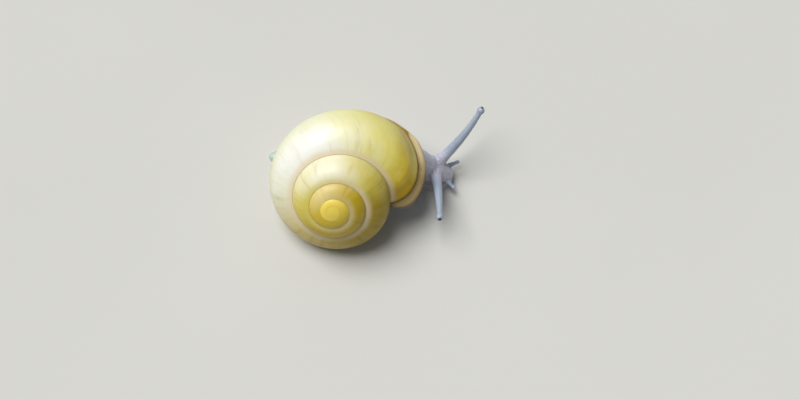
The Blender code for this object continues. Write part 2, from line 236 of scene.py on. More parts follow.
def vectorOf(material, x, y):
    return addNode(material, "ShaderNodeCombineXYZ", {0: x, 1: y}).outputs[0]


def placeOn(material):
    # the piece's own coordinates, in metres
    return addNode(material, "ShaderNodeTexCoord").outputs["Object"]


def mapParts(material, name):
    # the two parts of the piece's own map
    place = addNode(material, "ShaderNodeUVMap", uv_map=name).outputs[0]
    parts = addNode(material, "ShaderNodeSeparateXYZ", {0: place})
    return parts.outputs[0], parts.outputs[1]


def painted(material, name):
    # a value that was written on the piece's points
    return addNode(material, "ShaderNodeAttribute", attribute_name=name).outputs["Fac"]


def bumpOf(material, height, strength, distance):
    sources = {"Strength": strength, "Distance": distance, "Height": height}
    return addNode(material, "ShaderNodeBump", sources).outputs[0]


# the spiral of the shell; its ratios are to the outer radius of the last whorl

spiral = {
    "breadth": 20.0 * mm,
    "growth": 1.65,          # size of a whorl over the one before it
    "whorls": 4.9,
    "slope": 0.24,           # how fast the spire drops below the apex
    "dome": 0.65,            # and how much it rounds over
    "halfWidth": 0.5,
    "top": 0.445,
    "base": 0.43,
    "knob": 0.0147,          # height of the round apex
    "bulge": 0.032,          # and how far it swells, over this reach
    "bulgeReach": 0.15,
    "firstSeam": (1.22, 1.08),  # turns over which the first seam closes in on the axis
    "firstSeamAt": 166,      # degrees round the whorl where it then lies
    "firstLevel": (1.25, 1.05),  # turns over which the apex fills up to a round knob
    "lipMiddle": -28,        # degrees, where the mouth's edge crosses the side
    "lipSlant": 45,          # degrees, forwards at the seam and back at the base
    "lipReach": 240,         # degrees of the last whorl that take up that slant
    "apex": (0.0, -10.27 * mm, 10.25 * mm),
    "axisTurn": -93.7,
    "axisRise": 42.0,
    "mouthTurn": 103.1,
}
outerRadius = spiral["breadth"] / (1 + spiral["growth"] ** -0.5)
lipEnd = math.radians(spiral["lipMiddle"] + spiral["lipSlant"])
spiralStart = lipEnd - spiral["whorls"] * turn
tinyStep = 0.02  # radians, to find the way the shell runs on
shellFrame = np.array(
    Matrix.Translation(spiral["apex"])
    @ Matrix.Rotation(math.radians(spiral["axisTurn"]), 4, "Z")
    @ Matrix.Rotation(math.radians(90 - spiral["axisRise"]), 4, "Y")
)


def whorlMiddle(angle):
    scale = spiral["growth"] ** (angle / turn)
    nose = np.clip((angle - spiralStart) / math.pi, 0, 1)
    full = np.sqrt(1 - (1 - nose) ** 2)
    middleR = (1 - spiral["halfWidth"]) * scale
    middleZ = -(spiral["slope"] * scale + spiral["dome"] * scale**2)
    return middleR, middleZ, spiral["halfWidth"] * scale * full, scale * full


def onWhorl(angle, around):
    middleR, middleZ, halfWidth, size = whorlMiddle(angle)
    top = np.where(angle < spiralStart + math.pi, spiral["knob"] - middleZ, spiral["top"] * size)
    halfHeight = np.where(np.sin(around) > 0, top, spiral["base"] * size)
    return middleR + halfWidth * np.cos(around), middleZ + halfHeight * np.sin(around)


def inWorld(angle, r, z):
    swing = math.radians(spiral["mouthTurn"]) - angle
    local = np.stack([r * np.cos(swing), r * np.sin(swing), z + 0 * r], -1) * outerRadius
    return local @ shellFrame[:3, :3].T + shellFrame[:3, 3]


def seamOn(angle):
    # where the next whorl rests on this one, found by halving
    nextR, nextZ, nextWidth, nextSize = whorlMiddle(angle + turn)
    low = np.full_like(angle, math.radians(-135))  # surely on this whorl's base
    high = np.full_like(angle, math.radians(80))   # and surely near its top
    for _ in range(40):
        middle = (low + high) / 2
        r, z = onWhorl(angle, middle)
        nextHeight = np.where(z > nextZ, spiral["top"], spiral["base"]) * nextSize
        outside = ((r - nextR) / nextWidth) ** 2 + ((z - nextZ) / nextHeight) ** 2 > 1
        high = np.where(outside, middle, high)
        low = np.where(outside, low, middle)
    return (low + high) / 2


def seamAbove(angle):
    # where this whorl's outline leaves the whorl above it
    before = np.maximum(angle - turn, spiralStart + 0.001)
    r, z = onWhorl(before, seamOn(before))
    middleR, middleZ, halfWidth, size = whorlMiddle(angle)
    tiny = 1e-9  # the whorl has no size where it starts
    halfHeight = np.maximum(np.where(z > middleZ, spiral["top"], spiral["base"]) * size, tiny)
    found = np.arctan2((z - middleZ) / halfHeight, (r - middleR) / np.maximum(halfWidth, tiny))
    firstWhorl = easeTurns("firstSeam", angle)
    return found + firstWhorl * (math.radians(spiral["firstSeamAt"]) - found)


def easeTurns(name, angle):
    # from 0 to 1 between the two counts of turns that the spiral has under this name
    low, high = spiral[name]
    return ease(spiralStart + turn * low, spiralStart + turn * high, angle)


def slanted(angle, around):
    # growth lines lean back from the seam to the base, more so towards the mouth
    share = np.clip(1 - (lipEnd - angle) / math.radians(spiral["lipReach"]), 0, 1)
    return angle - math.radians(spiral["lipSlant"]) * (0.98 - np.sin(around)) * share**2


# shell

shellLook = {
    "columns": 460,
    "rows": 60,
    "tuck": 14,              # degrees that each whorl reaches under the one above
    "baseEdge": -150,        # degrees, where the base turns into the closed navel
    "navelRows": 0.07,       # share of the rows that close it
    "navelLift": 0.035,      # how far it sinks in, to the outer radius
    "whorlHalf": 0.47,       # half height of a whorl, for the distance from the seam
    "mapTurns": 5,           # turns over the whole width of the map
    "mapDepth": 25.0,        # mm over its height
    "wall": 0.26 * mm,
    "wallGrowth": 2.2,       # how soon the wall has that thickness
    "wrinkle": 0.012 * mm,   # height of the growth wrinkles
    "wrinkles": ((62, 3.1, 1.0), (141, 9.7, 0.6)),  # how close, where in the noise, how high
    "waist": 0.16 * mm,      # the slight narrowing behind the lip
    "waistBack": 0.16,       # radians behind it
    "waistWide": 0.09,
    # share of the map, and the tone there; the tones are partly the shell's own colour and partly painted
    # light: painted shade in the gold stops on the right side of each whorl as the camera sees it and at the
    # mouth, painted highlight in the cream stops on the upper left of each whorl
    "pigmentAndPaintedLight": (
        (0.0, "apexGold"), (0.34, "apexGold"), (0.41, "spireYellow"), (0.46, "spireYellow"),
        (0.505, "spireCreamHighlight"), (0.56, "spireGoldShaded"), (0.64, "spireGoldShaded"), (0.678, "secondStraw"),
        (0.704, "secondCreamHighlight"), (0.728, "secondCreamHighlight"), (0.752, "secondStraw"), (0.776, "secondGoldShaded"),
        (0.814, "secondGoldShaded"), (0.85, "bodyStraw"), (0.88, "bodyCream"), (0.90, "paleCreamAndHighlight"),
        (0.92, "paleCreamAndHighlight"), (0.935, "lateCream"), (0.953, "lateStraw"), (0.964, "lateGold"),
        (0.978, "mouthGoldShaded"),
    ),
    "apexGold": colour(254, 224, 96),
    "spireYellow": colour(220, 189, 44),
    # partly painted highlight: the pale upper left of the third whorl
    "spireCreamHighlight": colour(234, 213, 146),
    # partly painted shade: the spire's gold on the right side of its whorl, darkened as if in shadow
    "spireGoldShaded": colour(200, 170, 10),
    "secondStraw": colour(222, 206, 98),
    # partly painted highlight: the pale top of the second whorl
    "secondCreamHighlight": colour(243, 239, 208),
    # partly painted shade: the second whorl's gold on its right side, darkened as if in shadow
    "secondGoldShaded": colour(172, 146, 14),
    "bodyStraw": colour(216, 196, 124),
    "bodyCream": colour(242, 242, 218),
    # partly painted highlight: the near-white upper left of the last whorl
    "paleCreamAndHighlight": colour(250, 250, 240),
    "lateCream": colour(248, 244, 200),
    "lateStraw": colour(243, 229, 122),
    "lateGold": colour(224, 196, 54),
    # the mouth's deep yellow, partly darkened with painted shade
    "mouthGoldShaded": colour(174, 140, 8),
    "flankStraw": colour(218, 216, 150),
    "seamBand": colour(232, 214, 180),
    "bandPhase": 0.78,       # where the band below the seam is palest
    # dirt and painted shade in the crease of the seam
    "seamDirtAndShade": colour(150, 132, 100),
    "inside": colour(236, 226, 204),
}


def buildShell():
    look = shellLook
    piece, u, v = newGrid("shellWall", look["columns"], look["rows"])
    angle = spiralStart + u * (lipEnd - spiralStart)
    top = seamAbove(angle)
    tucked = top + math.radians(look["tuck"])
    edge = math.radians(look["baseEdge"])
    outerRows = 1 - look["navelRows"]
    around = tucked + (edge - tucked) * np.clip(v / outerRows, 0, 1)
    at = slanted(angle, around)
    inwards = np.clip((v - outerRows) / look["navelRows"], 0, 1)  # closes the navel on the axis
    r, z = roundApex(angle, at, around)
    points = inWorld(at, r * (1 - inwards), z + look["navelLift"] * inwards)
    # growth lines run from seam to base with the same slant all along
    line = (angle - spiralStart) / turn
    scale = spiral["growth"] ** (at / turn)
    below = (top - around) * look["whorlHalf"] * scale * outerRadius / mm  # distance from the seam in mm
    outwards = points - inWorld(at, *whorlMiddle(at)[:2])
    outwards /= np.maximum(np.linalg.norm(outwards, axis=1), 1e-9)[:, None]
    waist = np.exp(-((angle - lipEnd + look["waistBack"]) / look["waistWide"]) ** 2) * look["waist"]
    lift = look["wrinkle"] * growthWrinkle(line) * np.minimum(scale, 1) - waist * ease(-0.2, 1.2, below)
    writePoints(piece, points + outwards * (lift * (1 - inwards))[:, None])
    writeMap(piece, "shellMap", line / look["mapTurns"], below / look["mapDepth"])
    group = piece.vertex_groups.new(name="wall")
    for i, share in enumerate(np.clip(whorlMiddle(at)[3] * look["wallGrowth"], 0.03, 1)):
        group.add([i], float(share), "REPLACE")
    closeUp(piece, 0.001 * mm)
    piece.data.materials.append(shellMaterial())
    piece.data.materials.append(insideMaterial())
    wall = piece.modifiers.new("wall", "SOLIDIFY")
    wall.thickness = look["wall"]
    wall.offset = -1
    wall.vertex_group = "wall"
    wall.material_offset = 1
    wall.material_offset_rim = 1
    applyAll(piece)
    restOnFloor(piece)
    return piece


def roundApex(angle, at, around):
    # the whorl's outline, with a smooth round knob instead of a pit at the apex
    r, z = onWhorl(at, around)
    quarter = math.pi / 2
    crest = onWhorl(at, np.full_like(at, quarter))[1]
    level = easeTurns("firstLevel", angle) * (around > quarter)
    z = z + (crest - z) * level
    r = r + (whorlMiddle(at)[0] * (2 - around / quarter) - r) * level
    return r, z + spiral["bulge"] * np.exp(-((r / spiral["bulgeReach"]) ** 2))


def growthWrinkle(line):
    # one height for each growth line
    places = [round(float(place), 5) for place in line]
    heights = dict.fromkeys(places, 0)
    for place in heights:
        for rate, row, height in shellLook["wrinkles"]:
            heights[place] += height * noise.noise(Vector((place * rate, row, 0)))
    return np.array([heights[place] for place in places])


def restOnFloor(piece):
    points = readPoints(piece)
    points[:, 2] = np.maximum(points[:, 2], 0.0)
    writePoints(piece, points)


def shellMaterial():
    look = shellLook
    material, shader = newMaterial("yellowShell")
    turns, depth = mapParts(material, "shellMap")  # turns is 0 at the apex, 0.98 at the mouth
    below = times(material, depth, look["mapDepth"])  # mm below the seam
    cloud = noiseOf(material, placeOn(material), 260.0, 3.0, 0.55)
    # the ramp gives the shell's own tones together with painted shade and painted highlight that follow each
    # whorl round
    pigmentAndPaintedLight = ramp(material, sway(material, cloud, 0.03, turns), look, look["pigmentAndPaintedLight"])
    # streaks along the growth lines
    along = vectorOf(material, times(material, turns, 260.0), times(material, below, 0.16))
    streak = noiseOf(material, along, 1.0, 4.0, 0.6)
    grown = spread(material, turns, 0.40, 0.60)  # the smooth apex has no growth lines
    dark = times(material, spread(material, streak, 0.5, 0.78, 0.0, 0.32), grown)
    # the dark streaks take the mouth's gold, which holds painted shade
    tone = mixColour(material, dark, pigmentAndPaintedLight, look["mouthGoldShaded"], "MULTIPLY")
    grown = times(material, grown, spread(material, turns, 0.975, 0.945, 0.3, 1.0))
    light = times(material, spread(material, streak, 0.48, 0.25, 0.0, 0.22), grown)
    light = times(material, light, spread(material, turns, 0.76, 0.90, 0.25, 1.0))
    # the pale streaks take that cream, which also holds painted highlight
    tone = mixColour(material, light, tone, look["paleCreamAndHighlight"])
    # the flank of the last whorl is a little yellower than its shoulder
    flank = spread(material, below, 2.6, 5.6, 0.0, 0.5)
    flank = times(material, flank, spread(material, turns, 0.80, 0.86))
    tone = mixColour(material, flank, tone, look["flankStraw"])
    # a pale band lies just below each seam, and on it a thin dark line of dirt and painted crease shade
    ragged = sway(material, cloud, 0.5, below)
    later = spread(material, turns, 0.44, 0.66)  # the first whorls are one smooth golden knob
    band = times(material, spread(material, ragged, 1.1, 0.2, 0.0, 0.8), later)
    # once in every turn it is as yellow as the shell, except on the last
    phase = calc(material, "SUBTRACT", turns, look["bandPhase"])
    phase = times(material, phase, look["mapTurns"] * turn)
    wave = calc(material, "MULTIPLY_ADD", calc(material, "COSINE", phase), 0.5, 0.5)
    wave = calc(material, "MAXIMUM", wave, spread(material, turns, 0.80, 0.84))
    tone = mixColour(material, band, tone, mixColour(material, wave, look["secondStraw"], look["seamBand"]))
    # the seam's thin dark line: dirt and painted shade in the crease
    line = times(material, spread(material, below, 0.15, 0.03, 0.0, 0.5), later)
    tone = mixColour(material, line, tone, look["seamDirtAndShade"])
    hair = vectorOf(material, times(material, turns, 900.0), times(material, below, 0.5))
    fine = noiseOf(material, hair, 1.0, 3.0, 0.6)
    height = times(material, calc(material, "MULTIPLY_ADD", streak, 1.5, fine), grown)
    plug(material, shader, {
        "Base Color": tone,
        "Roughness": spread(material, streak, 0.3, 0.7, 0.36, 0.48),
        "Normal": bumpOf(material, height, 0.28, 0.05 * mm),
        "Specular IOR Level": 0.35,
        "Coat Weight": 0.15,
        "Coat Roughness": 0.28,
        "Subsurface Weight": 0.12,
        "Subsurface Radius": (1.0, 0.75, 0.35),
        "Subsurface Scale": 0.9 * mm,
    })
    return material


def insideMaterial():
    look = shellLook
    material, shader = newMaterial("shellInside")
    cloud = spread(material, noiseOf(material, placeOn(material), 500.0), 0.35, 0.7, 0.0, 0.5)
    tone = mixColour(material, cloud, look["inside"], look["lateStraw"])
    plug(material, shader, {
        "Base Color": tone,
        "Roughness": 0.25,
        "Subsurface Weight": 0.2,
        "Subsurface Scale": 0.8 * mm,
    })
    return material


# lip of the mouth

lipLook = {
    "along": 190,
    "sides": 42,
    "from": 86,              # degrees round the whorl
    "to": -166,
    # outline of the lip in mm: forwards past the mouth's edge, and outwards
    "outline": (
        (-0.45, -0.20), (-0.12, 0.03), (0.2, 0.08), (0.6, 0.26), (0.98, 0.54), (1.22, 0.60),
        (1.34, 0.46), (1.28, 0.18), (1.0, -0.12), (0.6, -0.36), (0.1, -0.56), (-0.5, -0.66),
        (-1.1, -0.56), (-0.9, -0.36),
    ),
    "cover": 0.05 * mm,      # what always stands proud of the shell's cut edge
    "cream": colour(216, 197, 154),
    "tan": colour(158, 141, 116),
    # painted shade for the end of the lip by the seam
    "paintedLipShade": colour(160, 150, 120),
    "edgeLine": colour(140, 112, 44),
    "white": colour(236, 226, 206),
    # the shell's mouth gold, which is partly painted shade
    "shadedGold": shellLook["mouthGoldShaded"],
    # share of the way round the outline, and the tone there
    "tones": (
        (0.0, "shadedGold"), (0.06, "edgeLine"), (0.12, "cream"), (0.23, "cream"), (0.34, "tan"),
        (0.46, "tan"), (0.57, "white"), (0.86, "white"), (0.92, "shadedGold"), (1.0, "shadedGold"),
    ),
}


def lipFrames(around):
    # places on the mouth's edge, with the ways forwards along the shell and outwards from it
    at = slanted(np.full_like(around, lipEnd), around)
    point = inWorld(at, *onWhorl(at, around))
    forwards = inWorld(at + tinyStep, *onWhorl(at + tinyStep, around)) - point
    forwards /= np.linalg.norm(forwards, axis=-1)[:, None]
    along = inWorld(at, *onWhorl(at, around - tinyStep)) - point
    along /= np.linalg.norm(along, axis=-1)[:, None]
    outwards = np.cross(along, forwards)
    outwards /= np.linalg.norm(outwards, axis=-1)[:, None]
    middle = inWorld(at, *whorlMiddle(at)[:2])
    wrong = np.sum(outwards * (point - middle), -1) < 0
    outwards[wrong] *= -1
    return point, forwards, outwards


def buildLip():
    look = lipLook
    piece, u, v = newGrid("shellLipRim", look["along"], look["sides"])
    around = np.radians(look["from"] + (look["to"] - look["from"]) * u)
    point, forwards, outwards = lipFrames(around)
    outline = blendLoop(look["outline"], look["sides"])
    outline = np.vstack([outline, outline[:1]]) * mm
    ahead, aside = outline[np.rint(v * look["sides"]).astype(int)].T
    # thinner at both ends
    size = 0.3 + 0.7 * ease(0.0, 0.16, u)
    size = size * (1 - 0.45 * ease(0.86, 1.0, u))
    wave = 1 + 0.04 * np.sin(u * 23.0) + 0.03 * np.sin(u * 51.0 + 1.3)
    ahead = ahead * size * np.where(ahead > 0, wave, 1)
    # turned out by the seam and at the base, flush on the side between them
    turnOut = 1 - 0.85 * ease(0.33, 0.43, u) + 0.6 * ease(0.62, 0.8, u)
    aside = aside * size
    aside = np.where(aside > look["cover"], look["cover"] + (aside - look["cover"]) * turnOut, aside)
    writePoints(piece, shutEnds(point + forwards * ahead[:, None] + outwards * aside[:, None], u))
    writeMap(piece, "lipMap", u, v)
    closeUp(piece, 0.002 * mm)
    piece.data.materials.append(lipMaterial())
    restOnFloor(piece)
    return piece


def lipMaterial():
    look = lipLook
    material, shader = newMaterial("creamLip")
    along, across = mapParts(material, "lipMap")
    own = placeOn(material)
    cloud = noiseOf(material, own, 900.0, 4.0, 0.6)
    # on the side of the whorl the shell's own yellow runs on over the lip
    side = spread(material, along, 0.33, 0.40)
    side = times(material, side, spread(material, along, 0.68, 0.58))
    across = sway(material, cloud, 0.05, calc(material, "MULTIPLY_ADD", side, -0.2, across))
    tone = ramp(material, across, look, look["tones"])
    # painted shade: the lip darkens towards the seam end
    paintedLipShade = spread(material, sway(material, cloud, 0.08, along), 0.315, 0.22, 0.0, 0.9)
    tone = mixColour(material, paintedLipShade, tone, look["paintedLipShade"], "MULTIPLY")
    plug(material, shader, {
        "Base Color": tone,
        "Roughness": spread(material, cloud, 0.3, 0.7, 0.28, 0.45),
        "Normal": bumpOf(material, noiseOf(material, own, 5200.0, 3.0, 0.6), 0.2, 0.04 * mm),
        "Coat Weight": 0.2,
        "Coat Roughness": 0.2,
        "Subsurface Weight": 0.3,
        "Subsurface Radius": (1.0, 0.8, 0.55),
        "Subsurface Scale": 0.7 * mm,
    })
    return material


shellWall = buildShell()
print("shell rolled", len(shellWall.data.polygons), "faces")
shellLipRim = buildLip()
print("lip built", len(shellLipRim.data.polygons), "faces")
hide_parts("shell")
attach(shellWall, "root")
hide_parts("shell_lip")
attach(shellLipRim, "root")


# soft body: one skin over foot, neck, head, feelers and tail

bodyLook = {
    # x, y of the middle, half width, height, all in mm, from the tail's tip to the front
    "foot": (
        (-9.4, 0.55, 0.18, 0.34), (-8.6, 0.50, 0.72, 0.72), (-5.5, 0.55, 1.55, 1.35), (0.0, 0.60, 2.2, 2.25),
        (6.0, 0.25, 2.35, 2.45), (11.0, -0.25, 1.9, 1.6), (13.6, -0.65, 1.6, 1.0), (14.6, -0.75, 0.75, 0.62),
    ),
    # x, y, z of the middle, half width, half height
    "neck": (
        (6.0, 0.10, 2.6, 2.0, 2.0), (9.5, -0.05, 2.7, 1.85, 1.75), (12.0, -0.25, 2.65, 1.75, 1.45),
        (13.4, -0.40, 2.35, 1.58, 1.25), (14.3, -0.50, 1.90, 1.15, 0.95), (14.8, -0.50, 1.65, 0.50, 0.46),
    ),
    # x, y, z, half length, half width
    "stalk": (
        (4.9, -1.4, 8.2, 4.9, 3.9), (5.3, -1.2, 7.0, 5.1, 4.1), (6.1, -0.7, 5.0, 4.6, 3.4),
        (6.9, -0.2, 3.2, 4.2, 2.3), (7.2, 0.0, 1.6, 4.4, 2.1),
    ),
    # the slope from the mantle down to the neck's back: base, bend and tip, then the radii
    "shoulder": ((6.6, -0.9, 6.6), (10.3, -0.5, 5.4), (11.9, -0.3, 3.0)),
    "shoulderWide": 2.7 * mm,
    "shoulderThin": 1.3 * mm,
    # middle and radii of the rounded forms of the face, in mm
    "face": {
        "snout": ((14.25, -0.5, 1.55), (0.95, 1.12, 0.85)),
        "cheekLeft": ((13.2, 0.45, 2.35), (1.05, 0.7, 0.95)),
        "cheekRight": ((13.1, -1.3, 2.3), (1.05, 0.7, 0.95)),
    },
    # and of the lobes beside the mouth
    "lobes": {
        "lobeLeft": ((14.72, 0.02, 0.98), (0.42, 0.40, 0.52)),
        "lobeRight": ((14.66, -1.1, 0.95), (0.42, 0.40, 0.52)),
    },
    "coarse": 0.17 * mm,     # voxel of the first blend
    "fine": 0.089 * mm,      # and of the finished skin
    "skirt": 0.20 * mm,      # how far the sole's edge stands out
    "skirtHeight": 0.42 * mm,
    "skirtGroove": 0.012 * mm,  # depth of the fine grooves across it
    "skirtGrooveStep": 0.42,    # mm
    "furrow": 0.07 * mm,     # depth of the furrow above the edge
    "furrowAt": 0.56,        # mm above the floor
    "furrowWide": 0.10,
    "tubercle": 0.32 * mm,   # across one
    "tubercleHeight": 0.050 * mm,
    "grain": 0.20 * mm,      # and the finer ones on the feelers
    "grainHeight": 0.030 * mm,
    "backGroove": 0.05 * mm,
    "backGrooveAside": 0.24,  # mm from the middle of the back
    "backGrooveWide": 0.06,
    "mouth": 0.14 * mm,      # depth of the slit
    "mouthAt": -0.54,        # its y in mm
    "mouthWide": 0.07,
    "grey": colour(212, 211, 228),
    "darkGrey": colour(156, 150, 165),
    "paleSide": colour(218, 214, 217),
    "tailPale": colour(186, 204, 195),
    "sole": colour(206, 200, 188),
    "feelerBlue": colour(155, 170, 190),
}
feelerPlan = {
    # base, bend and tip in mm
    "left": ((12.95, 0.5, 3.1), (16.1, 2.8, 6.3), (17.85, 5.95, 8.45)),
    "right": ((12.75, -1.15, 3.1), (13.35, -4.6, 4.9), (13.6, -8.1, 5.6)),
    "rootShare": 0.3,        # share of the length that belongs to the head
    "root": 0.76 * mm,
    "thin": 0.36 * mm,
    "knob": 0.52 * mm,
    "eye": 0.24 * mm,
    "lowerLeft": ((14.1, 0.35, 1.75), (14.85, 0.85, 1.75), (15.6, 1.2, 1.85)),
    "lowerRight": ((14.15, -1.25, 1.65), (14.75, -1.8, 1.55), (15.3, -2.3, 1.45)),
    "lowerRoot": 0.50 * mm,
    "lowerTip": 0.24 * mm,
}


def rollTube(name, ringPoints, columns, sides):
    # a grid closed into a tube; ringPoints places all points from their column and their angle
    piece, u, v = newGrid(name, columns, sides)
    writePoints(piece, shutEnds(ringPoints(np.rint(u * columns).astype(int), v * turn), u))
    closeUp(piece, 0.004 * mm)
    return piece


def footForm(columns=120, sides=56):
    rows = blendCurve(bodyLook["foot"], columns + 1) * mm
    under = 0.35 * mm  # how deep the rounded edge goes below its widest line

    def ringPoints(column, a):
        x, y, half, height = rows[column].T
        edge = np.minimum(under, 0.6 * height)
        over = np.sin(a) > 0
        z = np.where(over, edge + (height - edge) * np.abs(np.sin(a)) ** 1.15, under * np.sin(a))
        side = np.where(over, np.cos(a), np.sign(np.cos(a)) * np.abs(np.cos(a)) ** 0.4)
        return np.stack([x, y + half * side, z], 1)

    return rollTube("footForm", ringPoints, columns, sides)


def neckForm(columns=80, sides=48):
    rows = blendCurve(bodyLook["neck"], columns + 1) * mm

    def ringPoints(column, a):
        x, y, z, halfWidth, halfHeight = rows[column].T
        flat = 1 - 0.10 * np.maximum(np.sin(a), 0) * np.abs(np.sin(2 * a))
        return np.stack([x, y + halfWidth * np.cos(a) * flat, z + halfHeight * np.sin(a)], 1)

    return rollTube("neckForm", ringPoints, columns, sides)


def stalkForm(columns=50, sides=56):
    rows = blendCurve(bodyLook["stalk"], columns + 1) * mm

    def ringPoints(column, a):
        x, y, z, halfLength, halfWidth = rows[column].T
        return np.stack([x + halfLength * np.cos(a), y + halfWidth * np.sin(a), z], 1)

    return rollTube("stalkForm", ringPoints, columns, sides)


def bentLine(points, shares):
    start, bend, end = (np.array(p) * mm for p in points)
    t = shares[:, None]
    return start * (1 - t) ** 2 + bend * 2 * t * (1 - t) + end * t**2


def rodAlong(name, points, radiusAt, columns, sides):
    # a round rod along a bent line; radiusAt gives its radius from its share of the length
    shares = np.linspace(0, 1, columns + 1)
    line = bentLine(points, shares)
    ahead = np.gradient(line, axis=0)
    ahead /= np.linalg.norm(ahead, axis=1)[:, None]
    side = np.cross(ahead, (0.0, 0.0, 1.0))
    side /= np.linalg.norm(side, axis=1)[:, None]
    up = np.cross(side, ahead)
    radii = radiusAt(shares)[:, None]

    def ringPoints(column, a):
        across = side[column] * np.cos(a)[:, None] + up[column] * np.sin(a)[:, None]
        return line[column] + across * radii[column]

    return rollTube(name, ringPoints, columns, sides)


def ballAt(name, centre, radii):
    deselectAll()
    bpy.ops.mesh.primitive_uv_sphere_add(segments=40, ring_count=24, radius=1, location=(0, 0, 0))
    ball = nameIt(bpy.context.object, name)
    writePoints(ball, readPoints(ball) * np.array(radii) + np.array(centre))
    return ball


def shoulderRadius(shares):
    return bodyLook["shoulderWide"] + (bodyLook["shoulderThin"] - bodyLook["shoulderWide"]) * shares


def lowerRadius(shares):
    return feelerPlan["lowerTip"] + (feelerPlan["lowerRoot"] - feelerPlan["lowerTip"]) * (1 - shares) ** 2


def rootRadius(shares):
    # the first stretch of a feeler, drawn in to a blunt end
    return feelerRadius(shares * feelerPlan["rootShare"]) * (1 - shares**4 * 0.9)


def feelerRadius(shares):
    plan = feelerPlan
    cone = plan["thin"] + (plan["root"] - plan["thin"]) * (1 - shares) ** 1.25
    flare = 0.16 * mm * np.exp(-((shares / 0.10) ** 2))
    wave = 0.010 * mm * np.sin(shares * 46 + 0.6) * (1 - shares)
    rings = 0.016 * mm * np.sin(shares * 130) * np.exp(-((shares - 0.12) / 0.10) ** 2)
    return cone + flare + wave + rings


def join(pieces, name):
    deselectAll()
    for piece in pieces:
        piece.select_set(True)
    bpy.context.view_layer.objects.active = pieces[0]
    bpy.ops.object.join()
    return nameIt(bpy.context.object, name)


def melt(piece, voxel, factor, iterations):
    # blends overlapping forms into one even skin
    blend = piece.modifiers.new("blend", "REMESH")
    blend.mode = "VOXEL"
    blend.voxel_size = voxel
    soften = piece.modifiers.new("soften", "SMOOTH")
    soften.factor = factor
    soften.iterations = iterations
    applyAll(piece)


def ballsOf(forms):
    return [ballAt(name, *(np.array(part) * mm for part in form)) for name, form in forms.items()]


def buildSkin():
    look, plan = bodyLook, feelerPlan
    base = [footForm(), neckForm(), stalkForm()]
    base.append(rodAlong("shoulderForm", look["shoulder"], shoulderRadius, 30, 40))
    base += ballsOf(look["face"])
    for side in ("left", "right"):
        base.append(rodAlong(side + "Root", plan[side], rootRadius, 30, 28))
        trimRod(base[-1], plan[side], plan["rootShare"])
    skin = join(base, "snailSkin")
    melt(skin, look["coarse"], 0.5, 9)
    extra = []
    for side in ("left", "right"):
        extra.append(rodAlong(side + "Feeler", plan[side], feelerRadius, 110, 32))
        extra.append(ballAt(side + "Knob", np.array(plan[side][2]) * mm, [plan["knob"]] * 3))
    for side in ("lowerLeft", "lowerRight"):
        extra.append(rodAlong(side + "Feeler", plan[side], lowerRadius, 24, 24))
        extra.append(ballAt(side + "Tip", np.array(plan[side][2]) * mm, [plan["lowerTip"] * 1.15] * 3))
    skin = join([skin] + extra + ballsOf(look["lobes"]), "snailSkin")
    melt(skin, look["fine"], 0.5, 5)
    return skin


def trimRod(piece, points, reach):
    # squeezes the rod's points back along its line, to keep only its root
    here = readPoints(piece)
    shares = np.linspace(0, 1, 31)
    line = bentLine(points, shares)
    k = np.argmin(np.linalg.norm(here[:, None] - line[None], axis=2), axis=1)
    writePoints(piece, here - line[k] + bentLine(points, shares * reach)[k])


def nearestOnLine(points, plan):
    # distance to a bent line, and the share of its length that is nearest
    shares = np.linspace(0, 1, 120)
    line = bentLine(plan, shares)
    best = np.full(len(points), 1.0)
    share = np.zeros(len(points))
    for s, place in zip(shares, line):
        away = np.linalg.norm(points - place, axis=1)
        closer = away < best
        best[closer] = away[closer]
        share[closer] = s
    return best, share


def cellRelief(points, size):
    # 0 in the furrows between skin cells, 1 on their middles
    result = np.empty(len(points))
    for i, place in enumerate(points / size):
        near = noise.voronoi(Vector(place))[0]
        result[i] = near[1] - near[0]
    return result


def feelerShares(points):
    # how much of the skin at each point belongs to a feeler, and to a feeler's tip
    feeler, tip = np.zeros(len(points)), np.zeros(len(points))
    for side, width in (("left", 0.95), ("right", 0.95), ("lowerLeft", 0.55), ("lowerRight", 0.55)):
        away, share = nearestOnLine(points, feelerPlan[side])
        near = ease(width * mm * 1.25, width * mm * 0.9, away)
        feeler = np.maximum(feeler, near * ease(0.02, 0.42, share))
        tip = np.maximum(tip, near * ease(0.90, 0.98, share))
    return feeler, tip


def carveSole(points, normals, body):
    # the sole's thin edge stands out, with a furrow above it
    look = bodyLook
    xMm, yMm, zMm = (points / mm).T
    middleY = np.interp(xMm, [row[0] for row in look["foot"]], [row[1] for row in look["foot"]])
    flat = normals.copy()
    flat[:, 2] = 0
    length = np.linalg.norm(flat, axis=1)
    flat /= np.maximum(length, 1e-6)[:, None]
    skirt = ease(look["skirtHeight"], 0.12 * mm, points[:, 2]) * ease(0.25, 0.7, length) * body
    taper = ease(-9.4, -7.8, xMm) * ease(14.9, 13.9, xMm) * 0.75 + 0.25
    ruffle = 1 + 0.35 * np.sin(xMm * 2.1 + 0.7) + 0.2 * np.sin(xMm * 5.3 + np.sign(yMm - middleY) * 1.1)
    points += flat * (skirt * taper * look["skirt"] * ruffle)[:, None]
    furrow = np.exp(-(((zMm - look["furrowAt"]) / look["furrowWide"]) ** 2))
    furrow = furrow * ease(0.3, 0.8, length) * body * ease(-9.2, -8.0, xMm)
    points -= flat * (furrow * look["furrow"])[:, None]
    # fine grooves across the edge
    across = np.sin(xMm * turn / look["skirtGrooveStep"] + 0.8 * np.sin(xMm * 1.7))
    points += flat * (skirt * across * look["skirtGroove"])[:, None]
    return skirt


